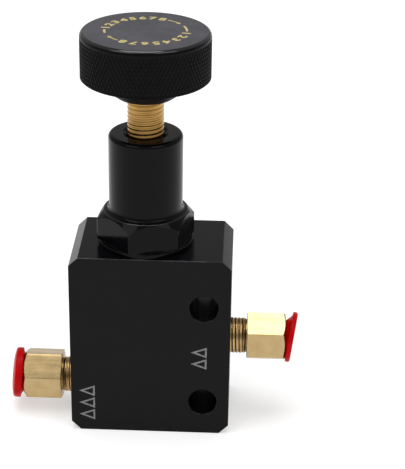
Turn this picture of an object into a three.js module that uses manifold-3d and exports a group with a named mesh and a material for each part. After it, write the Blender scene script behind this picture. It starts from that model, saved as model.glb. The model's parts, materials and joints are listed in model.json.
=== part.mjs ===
// Adjustable proportioning valve for a hydraulic line: a machined block with two
// brass fittings, a screwed-on bonnet, and a knurled knob on a threaded stem that
// loads the spring of a stepped piston.
//
// Millimetres, +Z up. The origin is the centre of the block's bottom face, +X points
// at the inlet fitting and -Y at the marked front face.
import * as THREE from 'three';
import { mergeVertices } from 'three/addons/utils/BufferGeometryUtils.js';
import Module from 'manifold-3d';

// ---- Driving dimensions -------------------------------------------------------

const GAP = 0.3; // clearance between pieces that touch
const FINE = 48; // sides of a large round piece
const COARSE = 28; // sides of a small round piece

const block = { width: 45, depth: 27, height: 55, chamfer: 2.65 };
const mountHole = { x: 15, radius: 4, heights: [10.3, 40.3] };
const axisX = -2; // the knob, bonnet and piston share this upright axis

// The stepped bore under the bonnet, from its mouth down.
const bore = {
  spotFace: { radius: 12.3, floor: 52.6 },
  thread: { radius: 10.2, floor: 44.5 },
  guide: { radius: 9.3, floor: 30.3 },
  inletChamber: { radius: 7.3, floor: 16.6 },
  outletChamber: { radius: 5.8, floor: 5 },
  drillPoint: 3.5,
};

const port = { tappedRadius: 5.45, tappedDepth: 9.5, passageRadius: 2.2 };
const inlet = {
  side: 1,
  z: 25,
  threadShown: 4.64,
  flatAngle: 2,
  lean: [0.118, -0.104], // x and y parts of the way the dust plug points
  rim: 1.45,
  dome: 0,
};
const outlet = {
  side: -1,
  z: 10.3,
  threadShown: 3.75,
  flatAngle: 46.7,
  lean: [0.102, -0.102],
  rim: 2.2,
  dome: 0.65,
};
const fitting = {
  threadRadius: 5.15,
  threadInside: 7.5,
  hexAcross: 13,
  hexLength: 11,
  hexChamfer: 0.25,
  mouthRadius: 4.6,
  mouthDepth: 8.5,
  countersink: 1.2,
  seatHeight: 2.4,
  seatRadius: 3.4,
  boreRadius: 1.6,
};
const plug = {
  flangeRadius: 7.3,
  coneRadius: 6.6,
  waistRadius: 5.8,
  waistHeight: 0.45,
  neckRadius: 4.7,
  neckEnd: 1.5,
  shankRadius: 4.1,
  shankStart: 2,
  shankTip: 3.1,
  shankEnd: 6,
};

const bonnet = {
  threadRadius: 9.9,
  bottom: 44.8,
  chamberRadius: 8,
  roof: 80,
  flangeRadius: 13.3,
  flangeThickness: 1,
  hexAcross: 24,
  hexCorner: 14, // direction of one hexagon corner, degrees from +X
  hexTop: 64.5,
  chamferRadius: 11.8,
  flareRadius: 11,
  flareHeight: 1.6,
  barrelRadius: 10.25,
  top: 87.15,
  edge: 0.7,
  countersink: 1,
};

const stem = { radius: 5, bottom: 77.4, top: 110, grooveRadius: 4.1, grooveFrom: 78.3, grooveTo: 80 };
const knob = {
  radius: 17.6,
  top: 115.86,
  knurlTop: 114.6,
  knurlBottom: 103.3,
  underside: 102.84,
  underRadius: 14.7,
  hubBottom: 97.8,
  hubRadius: 7.8,
  flatRadius: 16.35,
};
const grub = { radius: 1.5, z: 100.6, inner: 5.3, outer: 8.7 };
const ball = { radius: 2.4, z: 75.9 };
const cupRadius = ball.radius + GAP; // hollow that the ball sits in

const spring = { meanRadius: 6.6, wireRadius: 0.9, bottom: 48.1, top: 71.6, turns: 6, deadPitch: 2 };
const seat = { radius: 7.6, spigotRadius: 5.2, spigotHeight: 2.2 };
const upperSeat = { bottom: 71.9, top: 74.4 };
const lowerSeat = { bottom: 45.8, top: 47.8 };

const piston = {
  rodRadius: 3,
  rodTop: 49,
  neckRadius: 2,
  neckTop: 22,
  headRadius: 4.4,
  headTop: 15.4,
  headBottom: 12.4,
  stubRadius: 2,
  bottom: 8.5,
  grooveRadius: 2.4,
  grooveFrom: 44.2,
  grooveTo: 45.8,
};
const bush = { radius: 9, bottom: 30.6, top: 44.2, grooveRadius: 7.2, grooveFrom: 36.6, grooveTo: 39 };
const sealRecess = { radius: 5.4, top: 34.2 }; // hollow in the bush for the rod seal
const sleeve = { outer: 7, inner: 4.6, bottom: 19.9, top: 30.3, holeRadius: 2.2 };

const rodSealSize = { bottom: 31, lipTop: 32.4, top: 33.9, lip: 0.5 };
const valveSealSize = { inner: 3.4, bottom: 16.9, floor: 18.4, lipTop: 19.6, lip: 0.8 };
const bonnetORing = { meanRadius: 11.15, tubeRadius: 0.8, z: 53.95 };
const bushORing = { meanRadius: 8.25, tubeRadius: 0.75, z: 37.8 };
const stemRing = { inner: 4.4, outer: 7, bottom: 78.6, top: 79.7, gap: 40 }; // gap in degrees
const pistonRing = { inner: 2.7, outer: 4.8, bottom: 44.5, top: 45.5, gap: 50 };

// ---- Solids -------------------------------------------------------------------

const wasm = await Module();
wasm.setup();

const radians = THREE.MathUtils.degToRad;

// A closed three.js geometry as a solid that can be joined and cut.
function toSolid(geometry) {
  const bare = geometry.clone();
  for (const name of Object.keys(bare.attributes)) {
    if (name !== 'position') bare.deleteAttribute(name);
  }
  const merged = mergeVertices(bare, 1e-4);
  const corners = merged.index.array;
  const kept = [];
  for (let i = 0; i < corners.length; i += 3) {
    const [a, b, c] = corners.slice(i, i + 3);
    if (a !== b && b !== c && c !== a) kept.push(a, b, c);
  }
  return new wasm.Manifold(
    new wasm.Mesh({
      numProp: 3,
      vertProperties: new Float32Array(merged.attributes.position.array),
      triVerts: new Uint32Array(kept),
    }),
  );
}

function toGeometry(solid) {
  const mesh = solid.getMesh();
  const geometry = new THREE.BufferGeometry();
  geometry.setAttribute('position', new THREE.BufferAttribute(new Float32Array(mesh.vertProperties), 3));
  geometry.setIndex(new THREE.BufferAttribute(new Uint32Array(mesh.triVerts), 1));
  geometry.computeVertexNormals();
  return geometry;
}

function cut(base, ...tools) {
  return toGeometry(tools.reduce((solid, tool) => solid.subtract(toSolid(tool)), toSolid(base)));
}

function join(...parts) {
  return toGeometry(parts.map(toSolid).reduce((a, b) => a.add(b)));
}

function common(a, b) {
  return toGeometry(toSolid(a).intersect(toSolid(b)));
}

// A round piece about Z from [radius, z] points, listed upwards along its outside.
function turned(points, sides = COARSE) {
  const profile = points.map(([r, z]) => new THREE.Vector2(r, z));
  return new THREE.LatheGeometry(profile, sides).rotateX(Math.PI / 2);
}

// A turned ring: its profile closes on itself.
function ring(inner, outer, bottom, top, sides = COARSE) {
  return turned([[inner, bottom], [outer, bottom], [outer, top], [inner, top], [inner, bottom]], sides);
}

function rod(radius, bottom, top, sides = COARSE) {
  return turned([[0, bottom], [radius, bottom], [radius, top], [0, top]], sides);
}

function oRing({ meanRadius, tubeRadius, z }) {
  return new THREE.TorusGeometry(meanRadius, tubeRadius, 8, 32).translate(0, 0, z);
}

// A hexagonal bar about Z; flat is the direction of one face, in degrees.
function hexBar(across, bottom, top, flat) {
  const corners = [];
  for (let k = 0; k < 6; k += 1) {
    const angle = radians(flat + 30 + 60 * k);
    const reach = across / 2 / Math.cos(Math.PI / 6);
    corners.push(new THREE.Vector2(reach * Math.cos(angle), reach * Math.sin(angle)));
  }
  const outline = new THREE.Shape(corners);
  const bar = new THREE.ExtrudeGeometry(outline, { depth: top - bottom, bevelEnabled: false });
  return bar.translate(0, 0, bottom);
}

// An open spring-steel ring with a gap in its rim.
function openRing({ inner, outer, bottom, top, gap }) {
  const from = radians(gap / 2);
  const to = 2 * Math.PI - from;
  const outline = new THREE.Shape();
  outline.absarc(0, 0, outer, from, to, false);
  outline.absarc(0, 0, inner, to, from, true);
  outline.closePath();
  const options = { depth: top - bottom, bevelEnabled: false, curveSegments: 16 };
  const flat = new THREE.ExtrudeGeometry(outline, options);
  return flat.translate(0, 0, bottom);
}

// Profile points of the round hollow that the ball sits in, from its rim to its pole.
function ballCup(rimZ) {
  const points = [];
  const steps = 4;
  const rim = Math.asin((rimZ - ball.z) / cupRadius);
  const pole = (Math.sign(rim) * Math.PI) / 2;
  for (let k = 0; k < steps; k += 1) {
    const angle = rim + ((pole - rim) * k) / steps;
    points.push([cupRadius * Math.cos(angle), ball.z + cupRadius * Math.sin(angle)]);
  }
  points.push([0, ball.z + Math.sign(rim) * cupRadius]);
  return points;
}

// A compression spring about Z with one closed turn at each end.
class SpringCurve extends THREE.Curve {
  getPoint(t) {
    const { meanRadius, wireRadius, bottom, top, turns, deadPitch } = spring;
    const turn = t * turns;
    const first = bottom + wireRadius;
    const pitch = (top - bottom - 2 * wireRadius - 2 * deadPitch) / (turns - 2);
    const middle = Math.min(Math.max(turn - 1, 0), turns - 2);
    const z = first + deadPitch * (turn - middle) + pitch * middle;
    const angle = 2 * Math.PI * turn;
    return new THREE.Vector3(meanRadius * Math.cos(angle), meanRadius * Math.sin(angle), z);
  }
}

function coil() {
  const section = new THREE.Shape();
  section.absarc(0, 0, spring.wireRadius, 0, 2 * Math.PI, false);
  return new THREE.ExtrudeGeometry(section, {
    steps: spring.turns * 15,
    curveSegments: 4,
    bevelEnabled: false,
    extrudePath: new SpringCurve(),
  });
}

// ---- Pieces -------------------------------------------------------------------

function valveBody() {
  const { width, depth, height, chamfer } = block;
  const half = width / 2;
  const outline = new THREE.Shape([
    new THREE.Vector2(-half + chamfer, 0),
    new THREE.Vector2(half - chamfer, 0),
    new THREE.Vector2(half, chamfer),
    new THREE.Vector2(half, height - chamfer),
    new THREE.Vector2(half - chamfer, height),
    new THREE.Vector2(-half + chamfer, height),
    new THREE.Vector2(-half, height - chamfer),
    new THREE.Vector2(-half, chamfer),
  ]);
  const blank = new THREE.ExtrudeGeometry(outline, { depth, bevelEnabled: false });
  blank.rotateX(Math.PI / 2).translate(0, depth / 2, 0);

  const { spotFace, thread, guide, inletChamber, outletChamber } = bore;
  const steps = [outletChamber, inletChamber, guide, thread, spotFace];
  const profile = [[0, bore.drillPoint]];
  steps.forEach((step, i) => {
    const ceiling = i + 1 < steps.length ? steps[i + 1].floor : height + 1;
    profile.push([step.radius, step.floor], [step.radius, ceiling]);
  });
  profile.push([0, height + 1]);
  const mainBore = turned(profile, FINE).translate(axisX, 0, 0);

  const holes = mountHole.heights.map((z) =>
    rod(mountHole.radius, -depth, depth, FINE).rotateX(Math.PI / 2).translate(mountHole.x, 0, z));
  const ports = [inlet, outlet].map((p) => {
    const face = half;
    const floor = half - port.tappedDepth;
    const drill = turned([
      [0, 0],
      [port.passageRadius, 0],
      [port.passageRadius, floor - 1.5],
      [port.tappedRadius, floor],
      [port.tappedRadius, face + 1],
      [0, face + 1],
    ]);
    return drill.rotateY((p.side * Math.PI) / 2).translate(0, 0, p.z);
  });
  return cut(blank, mainBore, ...holes, ...ports);
}

function bonnetShell() {
  const b = bonnet;
  const base = block.height + GAP;
  const flangeTop = base + b.flangeThickness;
  const core = turned([
    [0, b.bottom],
    [b.threadRadius, b.bottom],
    [b.threadRadius, base],
    [b.flangeRadius, base],
    [b.flangeRadius, flangeTop],
    [b.flareRadius, flangeTop],
    [b.flareRadius, b.hexTop],
    [b.barrelRadius, b.hexTop + b.flareHeight],
    [b.barrelRadius, b.top - b.edge],
    [b.barrelRadius - b.edge, b.top],
    [0, b.top],
  ], FINE);
  const reach = b.hexAcross / 2 + 3;
  const chamfer = turned([
    [0, base],
    [reach, base],
    [reach, b.hexTop - (reach - b.chamferRadius)],
    [b.chamferRadius, b.hexTop],
    [0, b.hexTop],
  ], FINE);
  const hex = common(hexBar(b.hexAcross, flangeTop - 0.1, b.hexTop + 1, b.hexCorner + 30), chamfer);
  const hollow = turned([
    [0, b.bottom - 1],
    [b.chamberRadius, b.bottom - 1],
    [b.chamberRadius, b.roof],
    [stem.radius + GAP, b.roof],
    [stem.radius + GAP, b.top - b.countersink],
    [stem.radius + GAP + b.countersink + 0.5, b.top + 0.5],
    [0, b.top + 0.5],
  ], FINE);
  return cut(join(core, hex), hollow);
}

function adjusterStem() {
  return turned([
    ...ballCup(stem.bottom).reverse(),
    [stem.radius - 0.6, stem.bottom],
    [stem.radius, stem.bottom + 0.6],
    [stem.radius, stem.grooveFrom],
    [stem.grooveRadius, stem.grooveFrom],
    [stem.grooveRadius, stem.grooveTo],
    [stem.radius, stem.grooveTo],
    [stem.radius, stem.top],
    [0, stem.top],
  ]);
}

function knobBody() {
  const k = knob;
  const shell = turned([
    [0, k.hubBottom],
    [k.hubRadius, k.hubBottom],
    [k.underRadius, k.underside],
    [k.radius - 0.5, k.underside],
    [k.radius, k.knurlBottom],
    [k.radius, k.knurlTop],
    [k.radius - 0.37, k.top - 0.37],
    [k.flatRadius, k.top],
    [0, k.top],
  ], FINE);
  const socket = rod(stem.radius + GAP, k.hubBottom - 1, stem.top + GAP);
  const screwHole = rod(grub.radius + GAP, 0, k.radius, 24).rotateX(-Math.PI / 2).translate(0, 0, grub.z);
  return cut(shell, socket, screwHole);
}

function grubScrew() {
  const key = hexBar(1.5, grub.outer - 1.6, grub.outer + 1, 0);
  return cut(rod(grub.radius, grub.inner, grub.outer, 24), key).rotateX(-Math.PI / 2).translate(0, 0, grub.z);
}

function upperSpringSeat() {
  const { bottom, top } = upperSeat;
  return turned([
    [0, bottom - seat.spigotHeight],
    [seat.spigotRadius, bottom - seat.spigotHeight],
    [seat.spigotRadius, bottom],
    [seat.radius, bottom],
    [seat.radius, top],
    ...ballCup(top),
  ]);
}

function lowerSpringSeat() {
  const { bottom, top } = lowerSeat;
  const hole = piston.rodRadius + GAP;
  return turned([
    [hole, bottom],
    [seat.radius, bottom],
    [seat.radius, top],
    [seat.spigotRadius, top],
    [seat.spigotRadius, top + seat.spigotHeight],
    [hole, top + seat.spigotHeight],
    [hole, bottom],
  ]);
}

function pistonBody() {
  const p = piston;
  return turned([
    [0, p.bottom],
    [p.stubRadius, p.bottom],
    [p.stubRadius, p.headBottom],
    [p.headRadius, p.headBottom],
    [p.headRadius, p.headTop - 0.8],
    [p.headRadius - 0.8, p.headTop],
    [p.neckRadius, p.headTop],
    [p.neckRadius, p.neckTop],
    [p.rodRadius, p.neckTop + 1],
    [p.rodRadius, p.grooveFrom],
    [p.grooveRadius, p.grooveFrom],
    [p.grooveRadius, p.grooveTo],
    [p.rodRadius, p.grooveTo],
    [p.rodRadius, p.rodTop],
    [0, p.rodTop],
  ]);
}

function guideBush() {
  const b = bush;
  const hole = piston.rodRadius + GAP;
  return turned([
    [sealRecess.radius, b.bottom],
    [b.radius, b.bottom],
    [b.radius, b.grooveFrom],
    [b.grooveRadius, b.grooveFrom],
    [b.grooveRadius, b.grooveTo],
    [b.radius, b.grooveTo],
    [b.radius, b.top],
    [hole, b.top],
    [hole, sealRecess.top],
    [sealRecess.radius, sealRecess.top],
    [sealRecess.radius, b.bottom],
  ]);
}

// A cup seal: its two lips point down into the inlet chamber.
function rodSeal() {
  const { bottom, lipTop, top, lip } = rodSealSize;
  const inner = piston.rodRadius + GAP;
  const outer = sealRecess.radius - GAP;
  return turned([
    [inner, bottom],
    [inner + lip, bottom],
    [inner + lip, lipTop],
    [outer - lip, lipTop],
    [outer - lip, bottom],
    [outer, bottom],
    [outer, top],
    [inner, top],
    [inner, bottom],
  ]);
}

function spacerSleeve() {
  const wall = ring(sleeve.inner, sleeve.outer, sleeve.bottom, sleeve.top);
  const across = rod(sleeve.holeRadius, -10, 10, 24);
  const along = across.clone().rotateY(Math.PI / 2).translate(0, 0, inlet.z);
  const sideways = across.clone().rotateX(Math.PI / 2).translate(0, 0, inlet.z);
  return cut(wall, along, sideways);
}

// The rubber seat that the piston's head closes against, with a lip on its rim.
function valveSeal() {
  const { inner, bottom, floor, lipTop, lip } = valveSealSize;
  const outer = bore.inletChamber.radius - GAP;
  return turned([
    [inner, bottom],
    [outer, bottom],
    [outer, lipTop],
    [outer - lip, lipTop],
    [outer - lip, floor],
    [inner, floor],
    [inner, bottom],
  ]);
}

// A brass adapter along Z, measured from the block's side face.
function adapter(p, hexFlat) {
  const f = fitting;
  const hexTo = p.threadShown + f.hexLength;
  const shank = turned([
    [0, -f.threadInside],
    [f.threadRadius - 0.7, -f.threadInside],
    [f.threadRadius, -f.threadInside + 0.7],
    [f.threadRadius, p.threadShown + 1],
    [0, p.threadShown + 1],
  ]);
  const inRadius = f.hexAcross / 2;
  const reach = inRadius + 1.5;
  const edge = f.hexChamfer;
  const slope = Math.tan(Math.PI / 6);
  const drop = (reach - inRadius + edge) * slope;
  const rounded = turned([
    [0, p.threadShown],
    [inRadius - edge, p.threadShown],
    [reach, p.threadShown + drop],
    [reach, hexTo - drop],
    [inRadius - edge, hexTo],
    [0, hexTo],
  ], FINE);
  const hex = common(hexBar(f.hexAcross, p.threadShown, hexTo, hexFlat), rounded);
  const floor = hexTo - f.mouthDepth;
  const waterway = turned([
    [0, -f.threadInside - 1],
    [f.boreRadius, -f.threadInside - 1],
    [f.boreRadius, floor + f.seatHeight],
    [f.seatRadius, floor],
    [f.mouthRadius, floor],
    [f.mouthRadius, hexTo - f.countersink],
    [f.mouthRadius + f.countersink + 0.5, hexTo + 0.5],
    [0, hexTo + 0.5],
  ]);
  return cut(join(shank, hex), waterway);
}

// A moulded dust plug along Z: a cone, a neck and a tapered shank hang from a rim that
// starts at z = 0.
function dustPlug({ rim, dome }) {
  const { flangeRadius, coneRadius, waistRadius, waistHeight, neckRadius, neckEnd } = plug;
  const { shankRadius, shankStart, shankTip, shankEnd } = plug;
  const edge = rim / 3;
  return turned([
    [0, -shankEnd],
    [shankTip, -shankEnd],
    [shankRadius, -shankStart],
    [neckRadius, -neckEnd],
    [waistRadius, -waistHeight],
    [coneRadius, 0],
    [flangeRadius - edge, 0],
    [flangeRadius, edge],
    [flangeRadius, rim - edge],
    [flangeRadius - edge, rim],
    [flangeRadius / 2, rim + 0.75 * dome],
    [0, rim + dome],
  ]);
}

// ---- Assembly -----------------------------------------------------------------

const finishes = {
  blackAnodised: { color: 0x1e1e20, roughness: 0.5, metalness: 0.6 },
  blackKnob: { color: 0x24232a, roughness: 0.4, metalness: 0.7 },
  brass: { color: 0xc9a468, roughness: 0.35, metalness: 1 },
  steel: { color: 0xa9acb0, roughness: 0.3, metalness: 1 },
  rubber: { color: 0x151515, roughness: 0.8, metalness: 0 },
  redPlastic: { color: 0xc01218, roughness: 0.35, metalness: 0 },
};

const valve = new THREE.Group();
const upright = new THREE.Group();
upright.position.x = axisX;
valve.add(upright);

function add(parent, name, geometry, finish) {
  const mesh = new THREE.Mesh(geometry, new THREE.MeshStandardMaterial(finishes[finish]));
  mesh.name = name;
  parent.add(mesh);
  return mesh;
}

add(valve, 'valve_body', valveBody(), 'blackAnodised');

// Pieces on the upright axis, from the knob down.
add(upright, 'knob', knobBody(), 'blackKnob');
add(upright, 'knob_grub_screw', grubScrew(), 'steel');
add(upright, 'adjuster_stem', adjusterStem(), 'brass');
add(upright, 'stem_retaining_ring', openRing(stemRing), 'steel');
add(upright, 'bonnet', bonnetShell(), 'blackAnodised');
add(upright, 'bonnet_o_ring', oRing(bonnetORing), 'rubber');
add(upright, 'thrust_ball', new THREE.SphereGeometry(ball.radius, 20, 12).translate(0, 0, ball.z), 'steel');
add(upright, 'upper_spring_seat', upperSpringSeat(), 'steel');
add(upright, 'main_spring', coil(), 'steel');
add(upright, 'lower_spring_seat', lowerSpringSeat(), 'steel');
add(upright, 'piston_retaining_ring', openRing(pistonRing), 'steel');
add(upright, 'piston', pistonBody(), 'steel');
add(upright, 'guide_bush', guideBush(), 'brass');
add(upright, 'guide_o_ring', oRing(bushORing), 'rubber');
add(upright, 'rod_seal', rodSeal(), 'rubber');
add(upright, 'spacer_sleeve', spacerSleeve(), 'brass');
add(upright, 'valve_seal', valveSeal(), 'rubber');

// The two line fittings and their dust plugs, one on each side of the block.
for (const [name, p] of [['inlet', inlet], ['outlet', outlet]]) {
  const side = new THREE.Group();
  side.position.set((p.side * block.width) / 2, 0, p.z);
  side.rotation.y = (p.side * Math.PI) / 2;
  valve.add(side);
  const hexFlat = -(90 + p.side * p.flatAngle);
  add(side, `${name}_fitting`, adapter(p, hexFlat), 'brass');

  // The plug leans over until its cone meets the end of the hexagon.
  const sideways = Math.hypot(...p.lean);
  const pointing = new THREE.Vector3(...p.lean, Math.sqrt(1 - sideways ** 2));
  const cap = add(side, `${name}_dust_plug`, dustPlug(p), 'redPlastic');
  cap.position.z = p.threadShown + fitting.hexLength + GAP + plug.coneRadius * sideways;
  cap.quaternion.setFromUnitVectors(new THREE.Vector3(0, 0, 1), pointing);
}

export default valve;
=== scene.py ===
# Looks of an adjustable proportioning valve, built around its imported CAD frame.
# Shapes are worked out in millimetres and scaled to metres when a mesh is made.
import json
import math

import bmesh
import bpy
import numpy as np
from mathutils import Matrix, Vector


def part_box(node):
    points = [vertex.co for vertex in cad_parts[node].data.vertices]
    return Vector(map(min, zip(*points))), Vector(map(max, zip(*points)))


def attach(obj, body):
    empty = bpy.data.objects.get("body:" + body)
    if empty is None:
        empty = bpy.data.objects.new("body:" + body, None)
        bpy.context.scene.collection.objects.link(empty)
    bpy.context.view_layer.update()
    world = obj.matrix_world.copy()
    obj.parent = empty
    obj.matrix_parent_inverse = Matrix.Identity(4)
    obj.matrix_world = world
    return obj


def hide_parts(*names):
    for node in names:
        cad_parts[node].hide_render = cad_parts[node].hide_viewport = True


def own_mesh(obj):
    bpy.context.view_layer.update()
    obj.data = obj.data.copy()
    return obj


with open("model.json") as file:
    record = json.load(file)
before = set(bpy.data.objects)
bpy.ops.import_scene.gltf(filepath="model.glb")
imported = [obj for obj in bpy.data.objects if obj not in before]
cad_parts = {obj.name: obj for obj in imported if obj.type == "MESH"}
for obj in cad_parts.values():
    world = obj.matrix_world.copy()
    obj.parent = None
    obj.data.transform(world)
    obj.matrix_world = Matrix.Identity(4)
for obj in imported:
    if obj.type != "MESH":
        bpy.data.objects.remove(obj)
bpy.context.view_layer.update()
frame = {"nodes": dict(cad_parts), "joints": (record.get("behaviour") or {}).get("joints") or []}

MM = 0.001
TAU = 2 * math.pi


def box_mm(node):
    """Lowest and highest corner of a CAD node, in millimetres."""
    low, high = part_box(node)
    return low / MM, high / MM


# ---- Sizes, in millimetres ------------------------------------------------------

BODY_LOW, BODY_HIGH = box_mm("valve_body")
KNOB_LOW, KNOB_HIGH = box_mm("knob")
BONNET_LOW, BONNET_HIGH = box_mm("bonnet")
STEM_LOW, STEM_HIGH = box_mm("adjuster_stem")
SPRING_LOW, SPRING_HIGH = box_mm("main_spring")
BALL_LOW, BALL_HIGH = box_mm("thrust_ball")
INLET_LOW, INLET_HIGH = box_mm("inlet_fitting")
OUTLET_LOW, OUTLET_HIGH = box_mm("outlet_fitting")

AXIS_X = (KNOB_LOW.x + KNOB_HIGH.x) / 2  # the upright axis of the knob, bonnet and bore
GAP = 0.3  # clearance between pieces that touch

HALF_WIDTH = BODY_HIGH.x
BLOCK_TOP = BODY_HIGH.z
CHAMFER = 2.65
EDGE = 0.12  # small rounding on the block's machined edges
HOLE_X = 15
HOLE_RADIUS = 4
HOLE_HEIGHTS = (10.3, 40.3)
HOLE_LIP = 0.15  # small countersink round each mounting hole
PASSAGE_RADIUS = 2.2  # oil way from a port to the bore
TAP_RADIUS = 5.45  # tapped hole of a port
TAP_DEPTH = 9.5
# The stepped bore under the bonnet, as (radius, height) from its floor up.
BORE = [(5.8, 5), (5.8, 16.6), (7.3, 16.6), (7.3, 30.3), (9.3, 30.3), (9.3, 44.5), (10.2, 44.5),
        (10.2, 52.6), (12.3, 52.6)]

BONNET_THREAD = 9.9
BONNET_FLANGE = 13.3
BONNET_HEX = 24
BONNET_TURN = 44  # degrees from +X to the middle of a flat
BONNET_BARREL = 10.25
BONNET_CHAMBER = 8
BONNET_ROOF = 80

STEM_RADIUS = 5
STEM_PITCH = 1.25
RING_GROOVE = (78.3, 80.0)  # lowest and highest height of the groove for the stem's ring
RING_GROOVE_RADIUS = 4.1
KNOB_RADIUS = KNOB_HIGH.x - AXIS_X
KNOB_TOP = KNOB_HIGH.z - 0.03  # leaves room for the print
KNURL_COUNT = 96  # grooves of each hand round the knob
GRUB_RADIUS = 1.8
GRUB_HEIGHT = 100.6

FITTING_THREAD = 5.15
FITTING_PITCH = 1.0
FITTING_HEX = 13
FITTING_HEX_LENGTH = 11
FITTING_DEPTH = 7.5  # thread inside the block
MOUTH_RADIUS = 4.6
MOUTH_DEPTH = 8.5
PLUG_RADIUS = 7.3
PLUG_CONE = 6.6
PLUG_GAP = 0.12


# ---- Mesh helpers ---------------------------------------------------------------

def make_piece(name, mesh, body, material, nodes=()):
    """A finished mesh as a piece that rides on a body and may stand for CAD nodes."""
    mesh.shade_smooth()
    mesh.set_sharp_from_angle(angle=math.radians(32))
    piece = bpy.data.objects.new(name, mesh)
    bpy.context.scene.collection.objects.link(piece)
    for one in material if isinstance(material, (list, tuple)) else [material]:
        mesh.materials.append(one)
    weighted = piece.modifiers.new("even_shading", "WEIGHTED_NORMAL")
    weighted.keep_sharp = True
    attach(piece, body)
    if nodes:
        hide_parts(*nodes)
    return piece


def mesh_from(name, points, faces, place=None):
    """A Blender mesh from points in millimetres, put in place by a matrix in millimetres."""
    mesh = bpy.data.meshes.new(name)
    mesh.from_pydata([tuple(p) for p in points], [], [tuple(f) for f in faces])
    matrix = Matrix.Scale(MM, 4)
    if place is not None:
        matrix = matrix @ place
    mesh.transform(matrix)
    mesh.validate()
    mesh.update()
    return mesh


def joined(parts):
    """Several (points, faces) pairs as one."""
    points, faces, start = [], [], 0
    for part_points, part_faces in parts:
        points.extend(part_points)
        faces.extend([tuple(i + start for i in f) for f in part_faces])
        start += len(part_points)
    return points, faces


def rounded(outline, steps=5):
    """An outline of (r, z) or (r, z, fillet) points with each fillet drawn as an arc."""
    count = len(outline)
    result = []
    for k, point in enumerate(outline):
        if len(point) == 2 or k in (0, count - 1):
            result.append((point[0], point[1]))
            continue
        here = Vector(point[:2])
        before = (Vector(outline[k - 1][:2]) - here).normalized()
        after = (Vector(outline[k + 1][:2]) - here).normalized()
        half = before.angle(after) / 2
        centre = here + (before + after).normalized() * point[2] / math.sin(half)
        first = here + before * point[2] / math.tan(half) - centre
        turn = first.angle_signed(here + after * point[2] / math.tan(half) - centre)
        for i in range(steps + 1):
            arm = Matrix.Rotation(-turn * i / steps, 2) @ first
            result.append(tuple(centre + arm))
    return result


def loft(rings, sides, start_angle=0.0, closed=False):
    """Points and faces of a skin through rings of (radius, height), from the bottom up.

    A radius or height is one number or an array with a value for each side.
    An open skin is closed with a flat face at each end."""
    angles = start_angle + TAU * np.arange(sides) / sides
    points = []
    for radius, height in rings:
        r = np.broadcast_to(np.asarray(radius, float), sides)
        z = np.broadcast_to(np.asarray(height, float), sides)
        points.extend(zip(r * np.cos(angles), r * np.sin(angles), z))
    count = len(rings)
    faces = []
    for i in range(count if closed else count - 1):
        low, high = i * sides, ((i + 1) % count) * sides
        for k in range(sides):
            n = (k + 1) % sides
            faces.append((low + k, low + n, high + n, high + k))
    if not closed:
        faces.append(tuple(reversed(range(sides))))
        faces.append(tuple(range((count - 1) * sides, count * sides)))
    return points, faces


def hexagon(across, corner_radius, sides, flat=0.0):
    """Radius of a hexagon with rounded corners at each side's angle from a flat."""
    angles = TAU * np.arange(sides) / sides - flat
    from_flat = (angles + math.pi / 6) % (math.pi / 3) - math.pi / 6
    radius = across / 2 / np.cos(from_flat)
    reach = (across / 2 - corner_radius) / math.cos(math.pi / 6)
    from_corner = math.pi / 6 - np.abs(from_flat)
    limit = math.atan2(corner_radius / 2, reach + corner_radius * math.cos(math.pi / 6))
    arc = reach * np.cos(from_corner) + np.sqrt(
        np.maximum(corner_radius**2 - (reach * np.sin(from_corner)) ** 2, 0))
    return np.where(from_corner < limit, arc, radius)


def thread_rings(radius, pitch, depth, low, high, sides, start_angle=0.0, per_pitch=10, fade=0.8):
    """Rings of a right-hand screw thread with rounded crests at the radius."""
    angles = start_angle + TAU * np.arange(sides) / sides
    rings = []
    for z in np.linspace(low, high, max(2, int((high - low) / pitch * per_pitch)) + 1):
        crest = 0.5 + 0.5 * np.cos(TAU * z / pitch - angles)
        strength = min(1, (z - low) / fade, (high - z) / fade)
        rings.append((radius - depth * (1 - crest * strength), z))
    return rings


# ---- Materials ------------------------------------------------------------------

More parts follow.
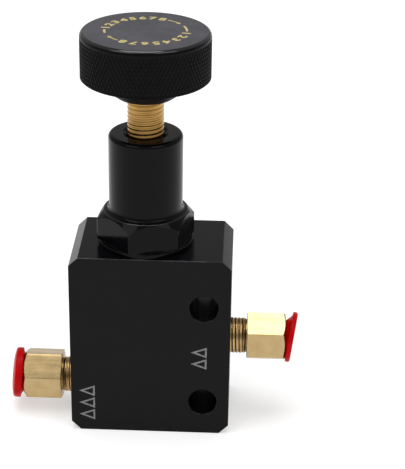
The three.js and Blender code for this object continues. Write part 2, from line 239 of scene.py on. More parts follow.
class Finish:
    """A node-based material: noise and line textures feed its colour, roughness and bump."""

    def __init__(self, name, colour, roughness, metallic=0.0, ior=1.5, specular=0.5):
        self.material = bpy.data.materials.new(name)
        self.material.use_nodes = True
        self.nodes = self.material.node_tree.nodes
        self.links = self.material.node_tree.links
        self.shader = self.nodes["Principled BSDF"]
        self.shader.inputs["Metallic"].default_value = metallic
        self.shader.inputs["IOR"].default_value = ior
        self.shader.inputs["Specular IOR Level"].default_value = specular
        self.shader.inputs["Base Color"].default_value = (*colour, 1)
        self.shader.inputs["Roughness"].default_value = roughness
        self.place = self.nodes.new("ShaderNodeTexCoord").outputs["Object"]
        self.normal = None

    def noise(self, size_mm, stretch=(1, 1, 1), detail=4.0):
        """Noise whose features are about size_mm across, longer along a stretched axis."""
        mapping = self.nodes.new("ShaderNodeMapping")
        mapping.inputs["Scale"].default_value = [1 / (size_mm * MM * s) for s in stretch]
        self.links.new(self.place, mapping.inputs["Vector"])
        noise = self.nodes.new("ShaderNodeTexNoise")
        noise.inputs["Scale"].default_value = 1.0
        noise.inputs["Detail"].default_value = detail
        self.links.new(mapping.outputs["Vector"], noise.inputs["Vector"])
        return noise.outputs["Fac"]

    def turning(self, size_mm, centre_mm):
        """Noise that depends only on the distance from an upright axis, as lathe marks do."""
        shift = self.nodes.new("ShaderNodeVectorMath")
        shift.operation = "SUBTRACT"
        shift.inputs[1].default_value = [c * MM for c in centre_mm]
        self.links.new(self.place, shift.inputs[0])
        flat = self.nodes.new("ShaderNodeVectorMath")
        flat.operation = "MULTIPLY"
        flat.inputs[1].default_value = (1, 1, 0)
        self.links.new(shift.outputs[0], flat.inputs[0])
        length = self.nodes.new("ShaderNodeVectorMath")
        length.operation = "LENGTH"
        self.links.new(flat.outputs[0], length.inputs[0])
        noise = self.nodes.new("ShaderNodeTexNoise")
        noise.noise_dimensions = "1D"
        noise.inputs["Scale"].default_value = 1 / (size_mm * MM)
        noise.inputs["Detail"].default_value = 3.0
        self.links.new(length.outputs["Value"], noise.inputs["W"])
        return noise.outputs["Fac"]

    def edges(self, radius_mm):
        """1 near a sharp edge and 0 on open faces."""
        bevel = self.nodes.new("ShaderNodeBevel")
        bevel.samples = 6
        bevel.inputs["Radius"].default_value = radius_mm * MM
        geometry = self.nodes.new("ShaderNodeNewGeometry")
        dot = self.nodes.new("ShaderNodeVectorMath")
        dot.operation = "DOT_PRODUCT"
        self.links.new(bevel.outputs["Normal"], dot.inputs[0])
        self.links.new(geometry.outputs["Normal"], dot.inputs[1])
        return self.remap(dot.outputs["Value"], 0.995, 0.85, 0, 1)

    def height(self):
        """Height above the block's foot, in metres."""
        split = self.nodes.new("ShaderNodeSeparateXYZ")
        self.links.new(self.place, split.inputs[0])
        return split.outputs["Z"]

    def remap(self, value, from_low, from_high, to_low, to_high):
        """A value moved from one range to another, and held inside it."""
        node = self.nodes.new("ShaderNodeMapRange")
        node.inputs["From Min"].default_value = from_low
        node.inputs["From Max"].default_value = from_high
        node.inputs["To Min"].default_value = to_low
        node.inputs["To Max"].default_value = to_high
        self.links.new(value, node.inputs["Value"])
        return node.outputs["Result"]

    def multiply(self, a, b):
        node = self.nodes.new("ShaderNodeMath")
        node.operation = "MULTIPLY"
        self.links.new(a, node.inputs[0])
        self.links.new(b, node.inputs[1])
        return node.outputs["Value"]

    def mix(self, amount, first, second):
        """A colour from first to second; either may be a colour or a node's output."""
        node = self.nodes.new("ShaderNodeMix")
        node.data_type = "RGBA"
        self.links.new(amount, node.inputs["Factor"])
        for colour, socket in ((first, node.inputs[6]), (second, node.inputs[7])):
            if isinstance(colour, (list, tuple)):
                socket.default_value = (*colour, 1)
            else:
                self.links.new(colour, socket)
        return node.outputs[2]

    def colour(self, value):
        self.links.new(value, self.shader.inputs["Base Color"])

    def roughness(self, value, low, high):
        """Roughness that a noise moves between low and high."""
        ranged = self.remap(value, 0.3, 0.7, low, high)
        self.links.new(ranged, self.shader.inputs["Roughness"])

    def bump(self, value, depth_mm):
        """Fine relief on top of any relief that the material already has."""
        node = self.nodes.new("ShaderNodeBump")
        node.inputs["Strength"].default_value = 1.0
        node.inputs["Distance"].default_value = depth_mm * MM
        self.links.new(value, node.inputs["Height"])
        if self.normal is not None:
            self.links.new(self.normal, node.inputs["Normal"])
        self.normal = node.outputs["Normal"]
        self.links.new(self.normal, self.shader.inputs["Normal"])


def anodised(name, base, wear_and_highlight_colour, roughness, ior=1.25, lines=None, turned=None, highlight_above=None):
    """Black anodised aluminium: dye that varies a little, fine grain, tool marks, and lighter edges
    that are partly rubbed wear and partly a painted highlight.

    Given a height in millimetres as the last argument, only edges above it get that lighter colour in
    full."""
    f = Finish(name, base, roughness[0], ior=ior)
    cloud = f.noise(6.0, detail=5)
    dye = f.mix(f.remap(cloud, 0.35, 0.7, 0, 1), base, [c * 1.3 for c in base])
    # Lighter edge colour: partly rubbed wear, partly a painted highlight where light catches the
    # edges.
    wear_and_highlight = f.multiply(f.edges(0.3), f.remap(f.noise(3.0, detail=6), 0.40, 0.62, 0.3, 1))
    if highlight_above is not None:
        wear_and_highlight = f.multiply(wear_and_highlight, f.remap(f.height(), highlight_above * MM, (highlight_above + 1) * MM, 0.04, 1))
    f.colour(f.mix(wear_and_highlight, dye, wear_and_highlight_colour))
    f.roughness(f.noise(2.2, detail=6), *roughness)
    f.bump(f.noise(0.12, detail=2), 0.0012)
    if lines is not None:
        f.bump(f.noise(0.18, stretch=lines, detail=2), 0.0012)
    if turned is not None:
        f.bump(f.turning(0.16, turned), 0.0015)
    return f.material


def brass(name, clean, stained, roughness, stretch=(1, 1, 1), turned=None, grain_mm=0.0015):
    """Machined brass with a faint tarnish, tool marks and shiny corners."""
    f = Finish(name, clean, roughness[0], metallic=1.0)
    tarnish = f.remap(f.noise(3.5, detail=6), 0.42, 0.72, 0, 1)
    bright = f.multiply(f.edges(0.12), f.remap(f.noise(0.8), 0.3, 0.6, 0.1, 0.5))
    f.colour(f.mix(bright, f.mix(tarnish, clean, stained), (0.86, 0.68, 0.38)))
    f.roughness(f.noise(0.9, stretch=stretch, detail=6), *roughness)
    f.bump(f.noise(0.12, stretch=stretch, detail=3), grain_mm)
    f.bump(f.noise(2.5, stretch=stretch, detail=3), 2 * grain_mm)
    if turned is not None:
        f.bump(f.turning(0.12, turned), grain_mm)
    return f.material


def steel(name, colour=(0.55, 0.55, 0.56)):
    """Plain steel with faint level tool marks."""
    f = Finish(name, colour, 0.25, metallic=1.0)
    f.colour(f.mix(f.noise(2.0, detail=5), colour, [c * 0.8 for c in colour]))
    f.roughness(f.noise(0.5, stretch=(4, 4, 1), detail=4), 0.18, 0.36)
    f.bump(f.noise(0.1, stretch=(6, 6, 1)), 0.003)
    return f.material


def rubber(name):
    """Moulded nitrile rubber, matt black."""
    f = Finish(name, (0.012, 0.012, 0.012), 0.6)
    f.colour(f.mix(f.noise(1.5, detail=5), (0.010, 0.010, 0.010), (0.022, 0.021, 0.020)))
    f.roughness(f.noise(0.6, detail=5), 0.5, 0.72)
    f.bump(f.noise(0.08, detail=2), 0.006)
    return f.material


def red_plastic(name):
    """Soft glossy polyethylene with faint flow marks."""
    f = Finish(name, (0.50, 0.002, 0.003), 0.3, specular=0.05)
    flow = f.remap(f.noise(3.0, detail=5), 0.35, 0.7, 0, 1)
    f.colour(f.mix(flow, (0.53, 0.002, 0.003), (0.38, 0.001, 0.002)))
    f.roughness(f.noise(1.2, detail=5), 0.24, 0.38)
    f.bump(f.noise(0.7, detail=3), 0.02)
    f.bump(f.noise(0.1, detail=2), 0.002)
    return f.material


def ink(name, colour, faded, roughness, metallic=0.0):
    """Printed or etched marking, a little uneven in its cover."""
    f = Finish(name, colour, roughness, metallic=metallic)
    f.colour(f.mix(f.remap(f.noise(0.35, detail=5), 0.4, 0.68, 0, 1), colour, faded))
    f.roughness(f.noise(0.3, detail=4), roughness * 0.85, min(1, roughness * 1.2))
    f.bump(f.noise(0.06, detail=2), 0.002)
    return f.material


AXIS_POINT = (AXIS_X, 0, 0)
# The block's light grey edge colour is a painted highlight, in full only along its top edges.
BLOCK_BLACK = anodised("black_anodised_block", (0.0020, 0.0020, 0.0027), (0.34, 0.34, 0.35),
                       (0.14, 0.22), ior=1.222, lines=(30, 1, 1), highlight_above=BLOCK_TOP - 1)
# The bonnet's grey edge colour is a painted highlight on its edges.
BONNET_BLACK = anodised("black_anodised_bonnet", (0.0018, 0.0018, 0.0024), (0.06, 0.06, 0.065),
                        (0.10, 0.18), ior=1.205, turned=AXIS_POINT)
KNURL_BLACK = anodised("black_anodised_knurl", (0.0012, 0.0012, 0.0016), (0.008, 0.008, 0.009),
                       (0.26, 0.36), ior=1.175)
HUB_BLACK = anodised("black_anodised_hub", (0.0040, 0.0040, 0.0060), (0.008, 0.008, 0.009),
                     (0.40, 0.50), ior=1.08)
RIM_BLACK = anodised("black_anodised_rim", (0.0040, 0.0040, 0.0050), (0.02, 0.02, 0.02),
                     (0.10, 0.16), ior=1.5)
# The knob face is black anodised; its grey base colour is a painted sheen of the overhead light.
PAINTED_SHEEN_KNOB_FACE = anodised("black_anodised_knob_face_painted_sheen", (0.066, 0.064, 0.073), (0.05, 0.05, 0.055),
                     (0.40, 0.50), turned=AXIS_POINT)
TURNED_BRASS = brass("turned_brass", (0.475, 0.275, 0.083), (0.37, 0.205, 0.058), (0.28, 0.38),
                     turned=AXIS_POINT)
THREAD_BRASS = brass("rolled_thread_brass", (0.49, 0.33, 0.145), (0.37, 0.23, 0.095), (0.26, 0.33),
                     grain_mm=0.0004)
DRAWN_BRASS = brass("drawn_brass", (0.49, 0.36, 0.176), (0.42, 0.295, 0.14), (0.22, 0.32),
                    stretch=(24, 1, 1), grain_mm=0.0011)
BRIGHT_STEEL = steel("bright_steel")
SPRING_STEEL = steel("spring_steel", (0.42, 0.41, 0.40))
BLACK_RUBBER = rubber("black_rubber")
RED_PLASTIC = red_plastic("red_plastic")
GOLD_PRINT = ink("gold_print", (0.78, 0.64, 0.26), (0.52, 0.42, 0.17), 0.45, metallic=0.2)
ETCHED = ink("etched_mark", (0.21, 0.21, 0.215), (0.12, 0.12, 0.125), 0.6)


# ---- Block ----------------------------------------------------------------------

def solid_cutter(outline, place, sides=128):
    """A turned solid used only to cut the block."""
    points, faces = loft(rounded(outline), sides)
    mesh = mesh_from("cutter", points, faces, place)
    cutter = bpy.data.objects.new("cutter", mesh)
    bpy.context.scene.collection.objects.link(cutter)
    return cutter


def carved(name, mesh, cutters):
    """The mesh with every cutter taken out of it; the cutters are used up."""
    blank = bpy.data.objects.new("blank", mesh)
    bpy.context.scene.collection.objects.link(blank)
    for cutter in cutters:
        cut = blank.modifiers.new("cut", "BOOLEAN")
        cut.operation = "DIFFERENCE"
        cut.solver = "EXACT"
        cut.object = cutter
    graph = bpy.context.evaluated_depsgraph_get()
    final = bpy.data.meshes.new_from_object(blank.evaluated_get(graph))
    final.name = name
    for spare in [blank, *cutters]:
        bpy.data.objects.remove(spare)
    return final


def block():
    """Octagonal bar with rounded edges, two mounting holes, two ports and the bonnet's bore."""
    depth = BODY_HIGH.y
    w, h, c = HALF_WIDTH, BLOCK_TOP, CHAMFER
    corners = [(-w + c, 0), (w - c, 0), (w, c), (w, h - c), (w - c, h), (-w + c, h), (-w, h - c),
               (-w, c)]
    points = [(x, -depth, z) for x, z in corners] + [(x, depth, z) for x, z in corners]
    count = len(corners)
    faces = [tuple(range(count)), tuple(reversed(range(count, 2 * count)))]
    faces += [(k, k + count, (k + 1) % count + count, (k + 1) % count) for k in range(count)]
    mesh = mesh_from("block_mesh", points, faces)

    rough = bmesh.new()
    rough.from_mesh(mesh)
    bmesh.ops.recalc_face_normals(rough, faces=rough.faces)
    bmesh.ops.bevel(rough, geom=list(rough.edges), offset=EDGE * MM, segments=3, profile=0.5,
                    affect="EDGES", clamp_overlap=True)
    rough.to_mesh(mesh)
    rough.free()

    over = 2  # how far a cutter reaches past the block
    cutters = []
    for z in HOLE_HEIGHTS:
        outline = [(HOLE_RADIUS + HOLE_LIP + over, -depth - over), (HOLE_RADIUS, -depth + HOLE_LIP),
                   (HOLE_RADIUS, depth - HOLE_LIP), (HOLE_RADIUS + HOLE_LIP + over, depth + over)]
        place = Matrix.Translation((HOLE_X, 0, z)) @ Matrix.Rotation(-math.pi / 2, 4, "X")
        cutters.append(solid_cutter(outline, place))
    drill_point, port_lip = 1.5, 0.6
    for side, z in ((1, (INLET_LOW.z + INLET_HIGH.z) / 2), (-1, (OUTLET_LOW.z + OUTLET_HIGH.z) / 2)):
        outline = [(PASSAGE_RADIUS, 2), (PASSAGE_RADIUS, w - TAP_DEPTH - drill_point),
                   (TAP_RADIUS, w - TAP_DEPTH), (TAP_RADIUS, w - port_lip),
                   (TAP_RADIUS + port_lip + over, w + over)]
        place = Matrix.Translation((0, 0, z)) @ Matrix.Rotation(side * math.pi / 2, 4, "Y")
        cutters.append(solid_cutter(outline, place, 96))
    bore = BORE + [(BORE[-1][0], h + over)]
    cutters.append(solid_cutter(bore, Matrix.Translation((AXIS_X, 0, 0))))

    final = carved("block", mesh, cutters)
    make_piece("block", final, "valve_housing", BLOCK_BLACK, ["valve_body"])


# ---- Bonnet, stem and knob ------------------------------------------------------

def bonnet():
    """Round flange, chamfered hexagon and barrel, hollow inside for the spring."""
    sides = 240
    foot, top = BONNET_LOW.z, BONNET_HIGH.z
    foot_chamfer = 0.8
    seat = BLOCK_TOP + 0.02
    flange_top = BLOCK_TOP + 1.25
    hex_radius = hexagon(BONNET_HEX, 0.5, sides, math.radians(BONNET_TURN))
    hex_edge = 0.12
    shoulder, shoulder_z = 11.7, BLOCK_TOP + 9.6  # where the hexagon's chamfer ends
    slope = 1.1  # of that chamfer
    chamfer_z = shoulder_z - (hex_radius - shoulder) * slope
    flare_foot, flare_z = shoulder - 0.6, shoulder_z + 0.2
    rings = rounded([(BONNET_THREAD - foot_chamfer, foot), (BONNET_THREAD, foot + foot_chamfer),
                     (BONNET_THREAD, seat), (BONNET_FLANGE, seat, 0.25),
                     (BONNET_FLANGE, flange_top, 0.25), (BONNET_FLANGE - 1.4, flange_top)])
    rings += [(hex_radius - hex_edge, flange_top), (hex_radius, flange_top + hex_edge)]
    rings += [(hex_radius, chamfer_z - hex_edge), (hex_radius - 0.10, chamfer_z + 0.04)]
    polished = range(len(rings), len(rings) + 5)  # the rounded shoulder shines
    rings += rounded([(shoulder + 0.2, shoulder_z - 0.2 * slope), (shoulder, shoulder_z, 0.6),
                      (flare_foot, flare_z)])[1:]
    # A hollow rounding leads from the hexagon's top up to the barrel.
    flare_width, flare_height = flare_foot - BONNET_BARREL, 1.5
    for angle in np.radians(np.arange(20, 91, 10)):
        rings.append((flare_foot - flare_width * math.sin(angle),
                      flare_z + flare_height * (1 - math.cos(angle))))
    hole, countersink = STEM_RADIUS + GAP, 1.1
    rings += rounded([(BONNET_BARREL, top - 3), (BONNET_BARREL, top, 1.25),
                      (hole + countersink, top, 0.15), (hole, top - countersink),
                      (hole, BONNET_ROOF), (BONNET_CHAMBER, BONNET_ROOF, 0.6),
                      (BONNET_CHAMBER, foot)], steps=6)
    points, faces = loft(rings, sides, closed=True)
    mesh = mesh_from("bonnet_mesh", points, faces, Matrix.Translation((AXIS_X, 0, 0)))
    finish = [int(index // sides in polished) for index in range(len(faces))]
    mesh.polygons.foreach_set("material_index", finish)
    make_piece("bonnet_shell", mesh, "valve_housing", [BONNET_BLACK, RIM_BLACK],
               ["bonnet"])


def threaded_stem():
    """Brass stem, threaded for its whole length. Its foot has a hollow for the thrust ball and
    a groove for its ring."""
    sides = 96
    low, high = STEM_LOW.z, STEM_HIGH.z
    foot = STEM_RADIUS - 0.1  # the foot has no thread
    hollow, middle = (BALL_HIGH.z - BALL_LOW.z) / 2 + GAP, (BALL_HIGH.z + BALL_LOW.z) / 2
    rim = math.asin((low - middle) / hollow)
    rings = [(hollow * math.cos(angle), middle + hollow * math.sin(angle))
             for angle in np.linspace(math.radians(85), rim, 10)]
    rings += [(STEM_RADIUS - 0.8, low), (foot, low + 0.6), (foot, RING_GROOVE[0])]
    rings += [(RING_GROOVE_RADIUS, height) for height in RING_GROOVE]
    rings += thread_rings(STEM_RADIUS, STEM_PITCH, 0.16, RING_GROOVE[1], high - 0.6, sides)
    rings += [(STEM_RADIUS - 0.9, high)]
    points, faces = loft(rings, sides)
    mesh = mesh_from("stem_mesh", points, faces, Matrix.Translation((AXIS_X, 0, 0)))
    make_piece("threaded_stem", mesh, "knob_and_stem", TURNED_BRASS, ["adjuster_stem"])


def knurl_rings(radius, low, high, rows, columns, fine):
    """Rings of a diamond knurl: two families of V grooves that cross."""
    depth = 0.22
    flat = 0.35  # share of a groove's half pitch left as crest
    angle_steps = np.arange(columns * 2 * fine) / fine
    rings = []
    for j in range(rows * fine + 1):
        row = j / fine
        families = [np.abs(((angle_steps + hand * row) / 2 + 0.5) % 1 - 0.5) * 2 for hand in (1, -1)]
        nearest = np.minimum(*families)
        groove = np.clip(1 - nearest / (1 - flat), 0, 1)
        strength = min(1, row / 0.35, (rows - row) / 0.35)
        rings.append((radius - depth * groove * strength, low + (high - low) * row / rows))
    return rings


def knob():
    """Turned knob: tapered hub, diamond-knurled rim and a flat face with a rounded edge."""
    fine = 3  # mesh steps for half a knurl groove
    sides = KNURL_COUNT * 2 * fine
    top, bottom = KNOB_TOP, KNOB_LOW.z
    shoulder = bottom + 5.04  # where the tapered hub meets the rim
    hub, hub_top = 7.8, 14.7  # radius of the hub at its foot and at the shoulder
    socket, countersink = STEM_RADIUS + GAP, 0.6
    r = KNOB_RADIUS
    rings = rounded([(socket, STEM_HIGH.z + GAP), (socket, bottom + countersink),
                     (socket + countersink, bottom), (hub, bottom, 0.5), (hub_top, shoulder, 0.4),
                     (r - 0.45, shoulder, 0.12), (r - 0.05, shoulder + 0.4)])
    knurl_start = len(rings)
    rings += knurl_rings(r, shoulder + 0.4, top - 1.4, 10, KNURL_COUNT, fine)
    knurl_end = len(rings) - 1
    rings += rounded([(r - 0.02, top - 1.35), (r - 0.05, top, 1.25), (r - 3, top)], steps=12)[1:]
    rim_start = knurl_end + 5  # the rounding shines from a third of the way up
    face_start = len(rings) - 4
    rings += [(radius, top) for radius in (12.6, 10, 7, 4, 1)]
    points, faces = loft(rings, sides)

    # Each quad of the knurl splits along its lower diagonal, so that grooves stay sharp.
    materials = [KNURL_BLACK, RIM_BLACK, PAINTED_SHEEN_KNOB_FACE, HUB_BLACK]
    on_knurl, on_rim, on_face, on_hub = range(4)
    radius_of = np.hypot(np.array(points)[:, 0], np.array(points)[:, 1])
    split, finish = [], []
    for index, face in enumerate(faces):
        ring = index // sides
        if knurl_start <= ring < knurl_end:
            a, b, c, d = face
            if radius_of[a] + radius_of[c] <= radius_of[b] + radius_of[d]:
                split += [(a, b, c), (a, c, d)]
            else:
                split += [(a, b, d), (b, c, d)]
            finish += [on_knurl, on_knurl]
            continue
        split.append(face)
        if ring < knurl_start:
            finish.append(on_hub)
        elif ring >= face_start and face[0] != sides - 1:  # the last test leaves out the socket's end
            finish.append(on_face)
        else:
            finish.append(on_rim if ring >= rim_start else on_knurl)
    mesh = mesh_from("knob_mesh", points, split, Matrix.Translation((AXIS_X, 0, 0)))
    mesh.polygons.foreach_set("material_index", finish)
    screw_hole = [(GRUB_RADIUS, 0), (GRUB_RADIUS, r)]
    place = Matrix.Translation((AXIS_X, 0, GRUB_HEIGHT)) @ Matrix.Rotation(-math.pi / 2, 4, "X")
    mesh = carved("knob_mesh", mesh, [solid_cutter(screw_hole, place, 48)])
    make_piece("knurled_knob", mesh, "knob_and_stem", materials, ["knob"])


# ---- Fittings and dust plugs ----------------------------------------------------

def side_place(side, z):
    """Puts +Z of a piece along the outward axis of a port, with its origin at the block's side."""
    return Matrix.Translation((side * HALF_WIDTH, 0, z)) @ Matrix.Rotation(side * math.pi / 2, 4, "Y")


def fitting(name, node, side, flat_angle, low, high):
    """Brass adapter: threaded shank, chamfered hexagon and a countersunk port with a flare seat.

    Gives back where it ends, measured from the block's side, and its height."""
    sides = 144
    z = (low.z + high.z) / 2
    inner = -FITTING_DEPTH
    end = (high.x if side > 0 else -low.x) - HALF_WIDTH
    hex_start = end - FITTING_HEX_LENGTH
    flat = math.radians(-(90 + side * flat_angle))
    radius = hexagon(FITTING_HEX, 0.22, sides)
    slope = math.tan(math.pi / 6)
    land = FITTING_HEX / 2 - 0.1
    drop = (radius - land) * slope
    passage = 1.6
    rings = [(passage, inner), (FITTING_THREAD - 0.9, inner)]
    rings += thread_rings(FITTING_THREAD, FITTING_PITCH, 0.18, inner + 0.4, hex_start - 0.55, sides,
                          flat, fade=0.5)
    rings += [(FITTING_THREAD - 0.4, hex_start - 0.2), (FITTING_THREAD - 0.4, hex_start)]
    thread_end = len(rings) - 1
    rings += [(land, hex_start), (radius - 0.08, hex_start + 0.25 * drop)]
    rings += [(radius, hex_start + 0.25 * drop + 0.12), (radius, end - drop - 0.1)]
    rings += [(radius - 0.08, end - drop + 0.02), (land, end)]
    mouth = end - MOUTH_DEPTH
    seat, seat_height = 3.4, 2.4  # the flare seat is a cone on the mouth's floor
    rings += rounded([(land - 0.2, end), (MOUTH_RADIUS + 1.2, end, 0.08),
                      (MOUTH_RADIUS, end - 1.2), (MOUTH_RADIUS, mouth + 0.2)])
    rings += [(MOUTH_RADIUS, mouth), (seat, mouth), (passage, mouth + seat_height)]
    points, faces = loft(rings, sides, start_angle=flat, closed=True)
    mesh = mesh_from(name + "_mesh", points, faces, side_place(side, z))
    on_thread = [int(index // sides < thread_end) for index in range(len(faces))]
    mesh.polygons.foreach_set("material_index", on_thread)
    make_piece(name, mesh, "valve_housing", [DRAWN_BRASS, THREAD_BRASS], [node])
    return end, z


def dust_plug(name, node, body, side, lean, rim, dome, end, z):
    """Moulded plug, leaning over in its port: ribbed shank, neck, cone, soft rim and face."""
    edge = min(0.9, rim * 0.42)
    outline = [(2.4, -6), (3.05, -6, 0.3), (3.2, -4.9), (3.5, -4.7, 0.1), (3.55, -4.3, 0.1),
               (3.4, -4.1), (3.7, -2.9), (4.0, -2.7, 0.1), (4.05, -2.3, 0.1), (4.0, -2.0),
               (4.7, -1.5, 0.2), (5.8, -0.45, 0.3), (PLUG_CONE - 0.1, -0.04, 0.1),
               (PLUG_RADIUS, 0, 0.35), (PLUG_RADIUS, rim, edge)]
    if dome:
        face = [(PLUG_RADIUS - 0.9, rim + 0.16 * dome), (PLUG_RADIUS * 0.7, rim + 0.62 * dome),
                (PLUG_RADIUS * 0.45, rim + 0.9 * dome), (PLUG_RADIUS * 0.15, rim + dome)]
    else:
        face = [(PLUG_RADIUS - 1.0, rim, 0.2), (PLUG_RADIUS - 1.5, rim - 0.35, 0.3),
                (2.2, rim - 0.35, 0.3), (1.8, rim - 0.15, 0.2), (0.6, rim - 0.15)]
    points, faces = loft(rounded(outline + face), 96)
    sideways = math.hypot(*lean)
    pointing = Vector((*lean, math.sqrt(1 - sideways**2)))
    turn = Vector((0, 0, 1)).rotation_difference(pointing).to_matrix().to_4x4()
    out = Matrix.Translation((0, 0, end + PLUG_GAP + PLUG_CONE * sideways))
    mesh = mesh_from(name + "_mesh", points, faces, side_place(side, z) @ out @ turn)
    make_piece(name, mesh, body, RED_PLASTIC, [node])


# ---- Markings -------------------------------------------------------------------

def glyph(text, height, stretch, thickness):
    """Points and faces of one bold character, centred on the origin in the XY plane."""
    curve = bpy.data.curves.new("glyph", "FONT")
    curve.body = text
    curve.extrude = 0.5
    curve.offset = 0.035
    curve.resolution_u = 3
    holder = bpy.data.objects.new("glyph", curve)
    bpy.context.scene.collection.objects.link(holder)
    bpy.context.view_layer.update()
    mesh = bpy.data.meshes.new_from_object(holder.evaluated_get(bpy.context.evaluated_depsgraph_get()))
    bpy.data.objects.remove(holder)
    points = np.array([v.co for v in mesh.vertices])
    faces = [tuple(p.vertices) for p in mesh.polygons]
    low, high = points.min(0), points.max(0)
    size = height / (high - low)[1]
    points = (points - (low + high) / 2) * (size * stretch, size, thickness / (high - low)[2])
    return [tuple(p) for p in points], faces


def arc_band(inner, outer, start, stop, z, thickness, steps=16):
    """Points and faces of a flat band along an arc; angles in degrees."""
    points = []
    for k in range(steps + 1):
        angle = math.radians(start + (stop - start) * k / steps)
        for r in (inner, outer):
            for height in (z, z + thickness):
                points.append((r * math.cos(angle), r * math.sin(angle), height))
    faces = []
    for k in range(steps):
        a, b = 4 * k, 4 * (k + 1)
        faces += [(a, b, b + 1, a + 1), (a + 2, a + 3, b + 3, b + 2),
                  (a + 1, b + 1, b + 3, a + 3), (a, a + 2, b + 2, b)]
    last = 4 * steps
    faces += [(0, 1, 3, 2), (last, last + 2, last + 3, last + 1)]
    return points, faces


def dial_marks():
    """Gold ring of dial numbers on the knob: two sets of eight between an arc and an arrow."""
    z = KNOB_TOP
    thick = 0.025
    inner, outer = 9.7, 12.1
    middle = (inner + outer) / 2
    digits = 8
    lead_half, dash_half, arrow_half = 0.3, 0.2, 0.65  # half widths
    arrow_length = 6.5  # in degrees
    # In degrees: the first and last digit, the arc before them, and the arc and arrow after.
    runs = ((171, 69, (195, 180), (61, 35)), (-8, -119, (25, 1), (-128, -151)))
    parts = []
    for first, last, lead, dash in runs:
        for k in range(digits):
            angle = math.radians(first + (last - first) * k / (digits - 1))
            points, faces = glyph(str(k + 1), outer - inner, stretch=1.3, thickness=thick)
            stand = (Matrix.Rotation(angle - math.pi / 2, 4, "Z")
                     @ Matrix.Translation((0, middle, z + thick / 2)))
            parts.append(([tuple(stand @ Vector(p)) for p in points], faces))
        parts.append(arc_band(middle - lead_half, middle + lead_half, lead[1], lead[0], z, thick))
        parts.append(arc_band(middle - dash_half, middle + dash_half, dash[1] + arrow_length - 0.5,
                              dash[0], z, thick))
        tip, base = math.radians(dash[1]), math.radians(dash[1] + arrow_length)
        head = [(middle, tip), (middle + arrow_half, base), (middle - arrow_half, base)]
        flat = [(r * math.cos(a), r * math.sin(a)) for r, a in head]
        points = [(x, y, height) for height in (z, z + thick) for x, y in flat]
        parts.append((points, [(0, 1, 2), (5, 4, 3), (0, 3, 4, 1), (1, 4, 5, 2), (2, 5, 3, 0)]))
    points, faces = joined(parts)
    mesh = mesh_from("dial_marks_mesh", points, faces, Matrix.Translation((AXIS_X, 0, 0)))
    make_piece("dial_marks", mesh, "knob_and_stem", GOLD_PRINT)


def triangle_outline(corners, width, y, thickness):
    """Points and faces of a triangle's outline on the front face; corners anticlockwise in XZ."""
    corners = [Vector(c) for c in corners]
    sides = [(corners[k - 2] - corners[k - 1]).length for k in range(3)]
    around = sum(sides)
    centre = sum((c * s for c, s in zip(corners, sides)), Vector((0, 0))) / around
    edge_one, edge_two = corners[1] - corners[0], corners[2] - corners[0]
    in_radius = abs(edge_one.x * edge_two.y - edge_one.y * edge_two.x) / around
    inside = [centre + (c - centre) * (1 - width / in_radius) for c in corners]
    points = [(p.x, y + dy, p.y) for dy in (0, -thickness) for p in corners + inside]
    faces = []
    for k in range(3):
        n = (k + 1) % 3
        faces += [(k, n, n + 6, k + 6), (n + 3, k + 3, k + 9, n + 9),
                  (k + 6, n + 6, n + 9, k + 9), (n, k, k + 3, n + 3)]
    return points, faces


def flow_marks():
    """Etched triangles that point the way the fluid goes: two at the inlet, three at the outlet."""
    y = BODY_LOW.y
    rows = ((13.8, 20.9, 28.3, 2), (-17.9, 3.2, 14.9, 3))  # place across, lowest, highest, count
    tip, back = -2.3, 2.2  # how far a triangle reaches to each side of its row
    parts = []
    for x, low, high, count in rows:
        pitch = (high - low) / count
        size = pitch * 0.45
        for k in range(count):
            z = low + pitch * (k + 0.5)
            corners = [(x + tip, z), (x + back, z - size), (x + back, z + size)]
            parts.append(triangle_outline(corners, width=0.5, y=y, thickness=0.015))
    points, faces = joined(parts)
    mesh = mesh_from("flow_marks_mesh", points, faces)
    make_piece("flow_marks", mesh, "valve_housing", ETCHED)


# ---- Inside pieces --------------------------------------------------------------

def joint_range_mm(name):
    """The lowest and highest place of a sliding joint."""
    joint = next(j for j in frame["joints"] if j["name"] == name)
    return [place / MM for place in joint["range_m"]]


def main_spring():
    """Round wire coil with closed ends, between the two spring seats. Its foot leaves the
    room that the lower seat needs when the piston lifts."""
    turns = 6
    wire = 0.9  # radius of the wire
    dead = 2.0  # pitch of the closed turn at each end
    mean = (SPRING_HIGH.x - SPRING_LOW.x) / 2 - wire
    room = joint_range_mm("piston_lift")[1] + 0.05
    foot = SPRING_LOW.z - GAP + room
    low, high = foot + wire, SPRING_HIGH.z - wire
    pitch = (high - low - 2 * dead) / (turns - 2)
    steps, round_steps = turns * 48, 16
    points = []
    for k in range(steps + 1):
        turn = turns * k / steps
        middle = min(max(turn - 1, 0), turns - 2)
        z = low + dead * (turn - middle) + pitch * middle
        angle = TAU * turn
        for j in range(round_steps):
            around = TAU * j / round_steps
            r = mean + wire * math.cos(around)
            points.append((r * math.cos(angle), r * math.sin(angle), z + wire * math.sin(around)))
    faces = []
    for k in range(steps):
        for j in range(round_steps):
            n = (j + 1) % round_steps
            a, b = k * round_steps, (k + 1) * round_steps
            faces.append((a + j, b + j, b + n, a + n))
    faces.append(tuple(range(round_steps)))
    faces.append(tuple(reversed(range(steps * round_steps, (steps + 1) * round_steps))))
    mesh = mesh_from("spring_mesh", points, faces, Matrix.Translation((AXIS_X, 0, 0)))
    spring = make_piece("spring_coil", mesh, "valve_housing", SPRING_STEEL, ["main_spring"])
    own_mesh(spring)


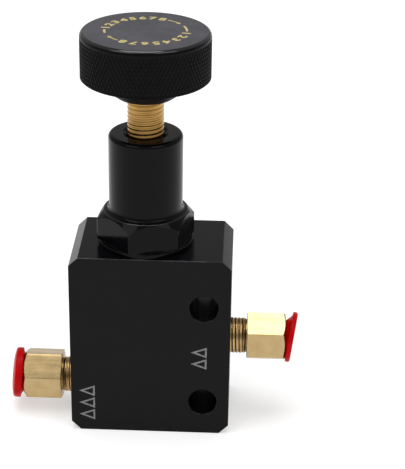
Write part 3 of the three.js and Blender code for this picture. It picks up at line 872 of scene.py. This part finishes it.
def finish_inside_nodes():
    """Materials for the CAD pieces that stay as they are."""
    finishes = {
        "knob_grub_screw": BRIGHT_STEEL,
        "stem_retaining_ring": SPRING_STEEL,
        "piston_retaining_ring": SPRING_STEEL,
        "thrust_ball": BRIGHT_STEEL,
        "upper_spring_seat": BRIGHT_STEEL,
        "lower_spring_seat": BRIGHT_STEEL,
        "piston": BRIGHT_STEEL,
        "guide_bush": TURNED_BRASS,
        "spacer_sleeve": TURNED_BRASS,
        "bonnet_o_ring": BLACK_RUBBER,
        "guide_o_ring": BLACK_RUBBER,
        "rod_seal": BLACK_RUBBER,
        "valve_seal": BLACK_RUBBER,
    }
    for node, material in finishes.items():
        slots = frame["nodes"][node].data.materials
        slots.clear()
        slots.append(material)


# ---- Stage, light and camera ----------------------------------------------------

def floor():
    """Wide pale floor that glows a little, as a lit backdrop does."""
    f = Finish("pale_floor", (0.65, 0.65, 0.65), 0.7, specular=0.2)
    f.shader.inputs["Emission Color"].default_value = (1, 1, 1, 1)
    f.shader.inputs["Emission Strength"].default_value = 0.48
    f.colour(f.mix(f.noise(60, detail=3), (0.65, 0.65, 0.65), (0.64, 0.64, 0.64)))
    reach, drop = 6000, 0.05
    points = [(-reach, -reach, 0), (reach, -reach, 0), (reach, reach, 0), (-reach, reach, 0)]
    mesh = mesh_from("floor_mesh", points, [(0, 1, 2, 3)], Matrix.Translation((0, 0, -drop)))
    ground = bpy.data.objects.new("floor", mesh)
    bpy.context.scene.collection.objects.link(ground)
    mesh.materials.append(f.material)


def softbox(name, strength, width, tilt, turn):
    """Even soft light from far away: its apparent width, tilt from overhead and turn, in degrees."""
    light = bpy.data.lights.new(name, "SUN")
    light.energy = strength
    light.angle = math.radians(width)
    lamp = bpy.data.objects.new(name, light)
    lamp.rotation_euler = (math.radians(tilt), 0, math.radians(turn))
    bpy.context.scene.collection.objects.link(lamp)


def lights():
    """A wide overhead softbox, one at each side in front, and a plain grey surround."""
    world = bpy.data.worlds.new("surround")
    bpy.context.scene.world = world
    world.use_nodes = True
    world.node_tree.nodes["Background"].inputs["Color"].default_value = (1, 1, 1, 1)
    world.node_tree.nodes["Background"].inputs["Strength"].default_value = 0.44
    softbox("overhead", strength=1.45, width=38, tilt=4, turn=-90)
    softbox("left", strength=0.42, width=34, tilt=40, turn=-50)
    softbox("right", strength=0.42, width=34, tilt=40, turn=50)


def camera():
    """The photographer's place: a little right of the front, looking down on the block."""
    data = bpy.data.cameras.new("camera")
    data.sensor_width = 36
    data.lens = 115.97
    data.clip_start, data.clip_end = 0.01, 30
    view = bpy.data.objects.new("camera", data)
    heading, pitch, roll = (math.radians(a) for a in (-1.638, -25.487, -0.952))
    ahead = Vector((math.sin(heading) * math.cos(pitch), math.cos(heading) * math.cos(pitch),
                    math.sin(pitch)))
    right = Vector((math.cos(heading), -math.sin(heading), 0))
    down = ahead.cross(right)
    across = math.cos(roll) * right + math.sin(roll) * down
    up = -(math.cos(roll) * down - math.sin(roll) * right)
    turn = Matrix((across, up, -ahead)).transposed()
    place = Vector((24.787, -381.653, 238.805)) * MM
    view.matrix_world = Matrix.Translation(place) @ turn.to_4x4()
    bpy.context.scene.collection.objects.link(view)
    bpy.context.scene.camera = view
    bpy.context.scene.view_settings.view_transform = "Standard"


camera()
lights()
floor()
block()
bonnet()
threaded_stem()
knob()
inlet_end, inlet_z = fitting("inlet_adapter", "inlet_fitting", side=1, flat_angle=2,
                             low=INLET_LOW, high=INLET_HIGH)
outlet_end, outlet_z = fitting("outlet_adapter", "outlet_fitting", side=-1, flat_angle=46.7,
                               low=OUTLET_LOW, high=OUTLET_HIGH)
dust_plug("inlet_plug", "inlet_dust_plug", "inlet_cap", side=1, lean=(0.118, -0.104), rim=1.45,
          dome=0, end=inlet_end, z=inlet_z)
dust_plug("outlet_plug", "outlet_dust_plug", "outlet_cap", side=-1, lean=(0.102, -0.102), rim=2.2,
          dome=0.65, end=outlet_end, z=outlet_z)
dial_marks()
flow_marks()
main_spring()
finish_inside_nodes()
